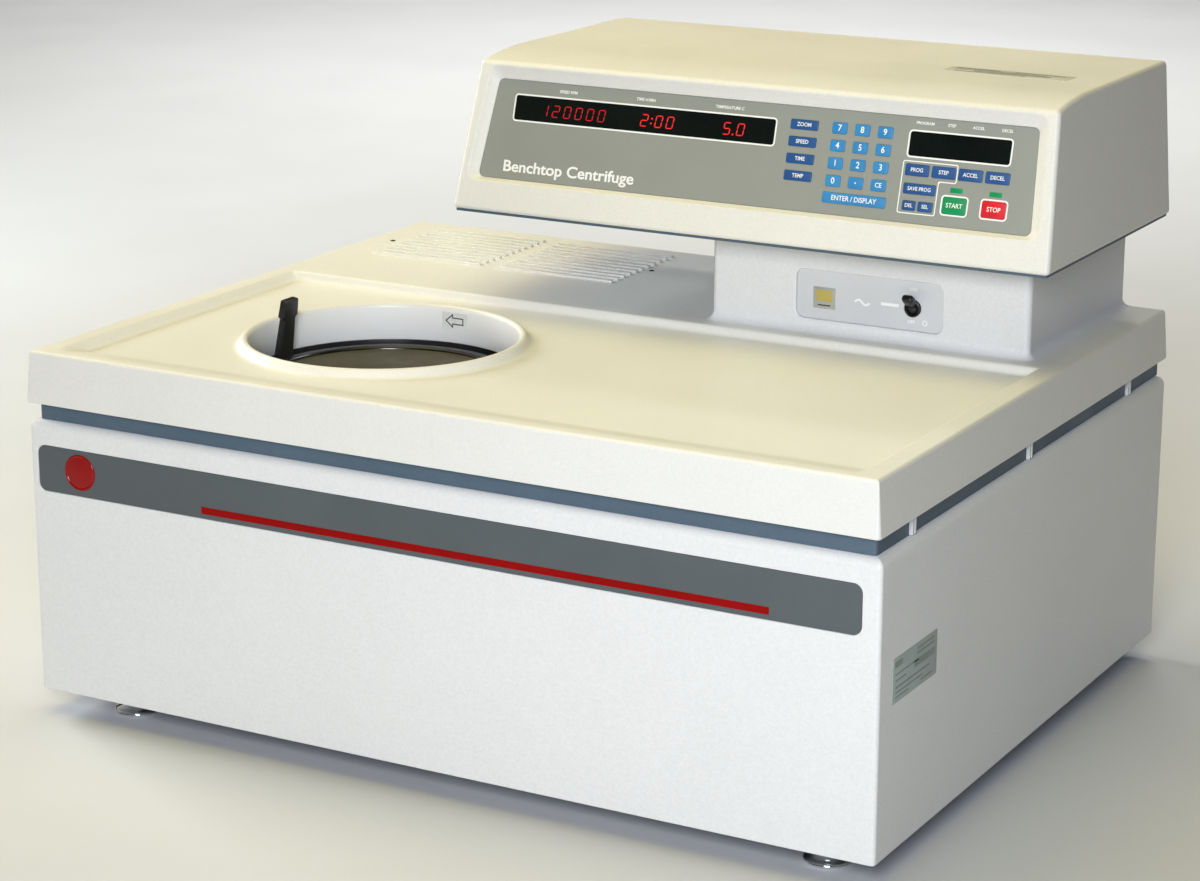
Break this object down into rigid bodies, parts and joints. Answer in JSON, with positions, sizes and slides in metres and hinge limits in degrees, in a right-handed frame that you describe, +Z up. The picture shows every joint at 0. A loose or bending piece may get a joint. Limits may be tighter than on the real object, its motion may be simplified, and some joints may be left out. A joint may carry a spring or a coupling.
{
  "type": "bench-top ultracentrifuge",
  "caption": "Bench-top ultracentrifuge: off-white cabinet, sliding chamber door in a round collar, rotor drive, pedestal with mains switch and cantilevered console with keypad.",
  "frame": {"origin": "plan centre of the cabinet, on the surface the levelling feet stand on", "axes": "+X to the right-hand side, -Y out of the front, +Z up"},
  "size_m": [0.72, 0.5668, 0.497],
  "materials": {
    "shell_white": "fine textured off-white moulding",
    "shell_cream": "fine textured cream moulding",
    "steel_plate": "zinc grey sheet steel",
    "rear_sheet": "light grey powder coat",
    "slate": "slate grey semi-matt",
    "clip": "light grey satin",
    "black_plastic": "black semi-gloss",
    "panel_grey": "warm grey printed overlay",
    "switch_grey": "cool light grey moulded panel",
    "window": "dark smoked window",
    "nameplate_grey": "dark grey strip with a red line",
    "badge_red": "red",
    "door_metal": "brown-grey anodised, fine satin",
    "alloy": "machined satin",
    "bowl_metal": "dark hard-anodised",
    "armour": "primed cast ring",
    "motor": "dark enamel",
    "spindle_steel": "ground",
    "rotor_titanium": "dark titanium grey",
    "foot_chrome": "polished",
    "key_dark": "dark blue",
    "key_light": "light blue",
    "key_green": "green",
    "key_red": "red",
    "led_red": "lit red segments"
  },
  "bodies": {
    "frame": {"base_plate": "steel_plate", "lower_cabinet": "shell_white", "rear_panel": "rear_sheet", "support_band": "slate", "band_clips": "clip", "top_cover": "shell_cream", "opening_collar": "shell_cream", "pedestal": "shell_white", "switch_panel": "switch_grey", "console_base": "slate", "console_housing": "shell_cream", "control_panel": "panel_grey", "display_windows": "window", "led_digits": "led_red", "nameplate": "nameplate_grey", "badge": "badge_red", "door_rails": "black_plastic", "chamber_plate": "alloy", "chamber_bowl": "bowl_metal", "armour_ring": "armour", "drive_motor": "motor", "fan_housing": "black_plastic", "power_inlet": "black_plastic"},
    "door": {"chamber_door": "door_metal", "door_handle": "black_plastic"},
    "switch_lever": {"power_switch": "black_plastic"},
    "rotor_assembly": {"drive_spindle": "spindle_steel", "rotor": "rotor_titanium", "rotor_lid": "alloy"},
    "fan": {"fan_impeller": "black_plastic"},
    "foot_front_left_body": {"foot_front_left": "foot_chrome"},
    "foot_front_right_body": {"foot_front_right": "foot_chrome"},
    "foot_back_left_body": {"foot_back_left": "foot_chrome"},
    "foot_back_right_body": {"foot_back_right": "foot_chrome"},
    "key_zoom_body": {"key_zoom": "key_dark"},
    "key_speed_body": {"key_speed": "key_dark"},
    "key_time_body": {"key_time": "key_dark"},
    "key_temp_body": {"key_temp": "key_dark"},
    "key_7_body": {"key_7": "key_light"},
    "key_8_body": {"key_8": "key_light"},
    "key_9_body": {"key_9": "key_light"},
    "key_4_body": {"key_4": "key_light"},
    "key_5_body": {"key_5": "key_light"},
    "key_6_body": {"key_6": "key_light"},
    "key_1_body": {"key_1": "key_light"},
    "key_2_body": {"key_2": "key_light"},
    "key_3_body": {"key_3": "key_light"},
    "key_0_body": {"key_0": "key_light"},
    "key_point_body": {"key_point": "key_light"},
    "key_clear_body": {"key_clear": "key_light"},
    "key_enter_body": {"key_enter": "key_light"},
    "key_program_body": {"key_program": "key_dark"},
    "key_step_body": {"key_step": "key_dark"},
    "key_accel_body": {"key_accel": "key_dark"},
    "key_decel_body": {"key_decel": "key_dark"},
    "key_save_body": {"key_save": "key_dark"},
    "key_delete_body": {"key_delete": "key_dark"},
    "key_select_body": {"key_select": "key_dark"},
    "key_start_body": {"key_start": "key_green"},
    "key_stop_body": {"key_stop": "key_red"}
  },
  "joints": [
    {"name": "door_slide", "type": "slide", "parent": "frame", "child": "door", "axis": [1, 0, 0], "range_m": [0, 0.188]},
    {"name": "power_toggle", "type": "hinge", "parent": "frame", "child": "switch_lever", "pos_m": [0.225, 0.073, 0.324], "axis": [1, 0, 0], "range_deg": [0, 76]},
    {"name": "rotor_spin", "type": "hinge", "parent": "frame", "child": "rotor_assembly", "pos_m": [-0.148, -0.102, 0.15], "axis": [0, 0, 1], "continuous": true},
    {"name": "fan_spin", "type": "hinge", "parent": "frame", "child": "fan", "pos_m": [0.205, 0.25, 0.122], "axis": [0, 1, 0], "continuous": true},
    {"name": "foot_front_left_turn", "type": "hinge", "parent": "frame", "child": "foot_front_left_body", "pos_m": [-0.297, -0.24, 0.02], "axis": [0, 0, 1], "continuous": true},
    {"name": "foot_front_right_turn", "type": "hinge", "parent": "frame", "child": "foot_front_right_body", "pos_m": [0.307, -0.24, 0.02], "axis": [0, 0, 1], "continuous": true},
    {"name": "foot_back_left_turn", "type": "hinge", "parent": "frame", "child": "foot_back_left_body", "pos_m": [-0.297, 0.24, 0.02], "axis": [0, 0, 1], "continuous": true},
    {"name": "foot_back_right_turn", "type": "hinge", "parent": "frame", "child": "foot_back_right_body", "pos_m": [0.307, 0.24, 0.02], "axis": [0, 0, 1], "continuous": true},
    {"name": "key_zoom_press", "type": "slide", "parent": "frame", "child": "key_zoom_body", "axis": [0, 0.9627, -0.2706], "range_m": [0, 0.0005], "stiffness_N_per_m": 800},
    {"name": "key_speed_press", "type": "slide", "parent": "frame", "child": "key_speed_body", "axis": [0, 0.9627, -0.2706], "range_m": [0, 0.0005], "stiffness_N_per_m": 800},
    {"name": "key_time_press", "type": "slide", "parent": "frame", "child": "key_time_body", "axis": [0, 0.9627, -0.2706], "range_m": [0, 0.0005], "stiffness_N_per_m": 800},
    {"name": "key_temp_press", "type": "slide", "parent": "frame", "child": "key_temp_body", "axis": [0, 0.9627, -0.2706], "range_m": [0, 0.0005], "stiffness_N_per_m": 800},
    {"name": "key_7_press", "type": "slide", "parent": "frame", "child": "key_7_body", "axis": [0, 0.9627, -0.2706], "range_m": [0, 0.0005], "stiffness_N_per_m": 800},
    {"name": "key_8_press", "type": "slide", "parent": "frame", "child": "key_8_body", "axis": [0, 0.9627, -0.2706], "range_m": [0, 0.0005], "stiffness_N_per_m": 800},
    {"name": "key_9_press", "type": "slide", "parent": "frame", "child": "key_9_body", "axis": [0, 0.9627, -0.2706], "range_m": [0, 0.0005], "stiffness_N_per_m": 800},
    {"name": "key_4_press", "type": "slide", "parent": "frame", "child": "key_4_body", "axis": [0, 0.9627, -0.2706], "range_m": [0, 0.0005], "stiffness_N_per_m": 800},
    {"name": "key_5_press", "type": "slide", "parent": "frame", "child": "key_5_body", "axis": [0, 0.9627, -0.2706], "range_m": [0, 0.0005], "stiffness_N_per_m": 800},
    {"name": "key_6_press", "type": "slide", "parent": "frame", "child": "key_6_body", "axis": [0, 0.9627, -0.2706], "range_m": [0, 0.0005], "stiffness_N_per_m": 800},
    {"name": "key_1_press", "type": "slide", "parent": "frame", "child": "key_1_body", "axis": [0, 0.9627, -0.2706], "range_m": [0, 0.0005], "stiffness_N_per_m": 800},
    {"name": "key_2_press", "type": "slide", "parent": "frame", "child": "key_2_body", "axis": [0, 0.9627, -0.2706], "range_m": [0, 0.0005], "stiffness_N_per_m": 800},
    {"name": "key_3_press", "type": "slide", "parent": "frame", "child": "key_3_body", "axis": [0, 0.9627, -0.2706], "range_m": [0, 0.0005], "stiffness_N_per_m": 800},
    {"name": "key_0_press", "type": "slide", "parent": "frame", "child": "key_0_body", "axis": [0, 0.9627, -0.2706], "range_m": [0, 0.0005], "stiffness_N_per_m": 800},
    {"name": "key_point_press", "type": "slide", "parent": "frame", "child": "key_point_body", "axis": [0, 0.9627, -0.2706], "range_m": [0, 0.0005], "stiffness_N_per_m": 800},
    {"name": "key_clear_press", "type": "slide", "parent": "frame", "child": "key_clear_body", "axis": [0, 0.9627, -0.2706], "range_m": [0, 0.0005], "stiffness_N_per_m": 800},
    {"name": "key_enter_press", "type": "slide", "parent": "frame", "child": "key_enter_body", "axis": [0, 0.9627, -0.2706], "range_m": [0, 0.0005], "stiffness_N_per_m": 800},
    {"name": "key_program_press", "type": "slide", "parent": "frame", "child": "key_program_body", "axis": [0, 0.9627, -0.2706], "range_m": [0, 0.0005], "stiffness_N_per_m": 800},
    {"name": "key_step_press", "type": "slide", "parent": "frame", "child": "key_step_body", "axis": [0, 0.9627, -0.2706], "range_m": [0, 0.0005], "stiffness_N_per_m": 800},
    {"name": "key_accel_press", "type": "slide", "parent": "frame", "child": "key_accel_body", "axis": [0, 0.9627, -0.2706], "range_m": [0, 0.0005], "stiffness_N_per_m": 800},
    {"name": "key_decel_press", "type": "slide", "parent": "frame", "child": "key_decel_body", "axis": [0, 0.9627, -0.2706], "range_m": [0, 0.0005], "stiffness_N_per_m": 800},
    {"name": "key_save_press", "type": "slide", "parent": "frame", "child": "key_save_body", "axis": [0, 0.9627, -0.2706], "range_m": [0, 0.0005], "stiffness_N_per_m": 800},
    {"name": "key_delete_press", "type": "slide", "parent": "frame", "child": "key_delete_body", "axis": [0, 0.9627, -0.2706], "range_m": [0, 0.0005], "stiffness_N_per_m": 800},
    {"name": "key_select_press", "type": "slide", "parent": "frame", "child": "key_select_body", "axis": [0, 0.9627, -0.2706], "range_m": [0, 0.0005], "stiffness_N_per_m": 800},
    {"name": "key_start_press", "type": "slide", "parent": "frame", "child": "key_start_body", "axis": [0, 0.9627, -0.2706], "range_m": [0, 0.0005], "stiffness_N_per_m": 800},
    {"name": "key_stop_press", "type": "slide", "parent": "frame", "child": "key_stop_body", "axis": [0, 0.9627, -0.2706], "range_m": [0, 0.0005], "stiffness_N_per_m": 800}
  ]
}
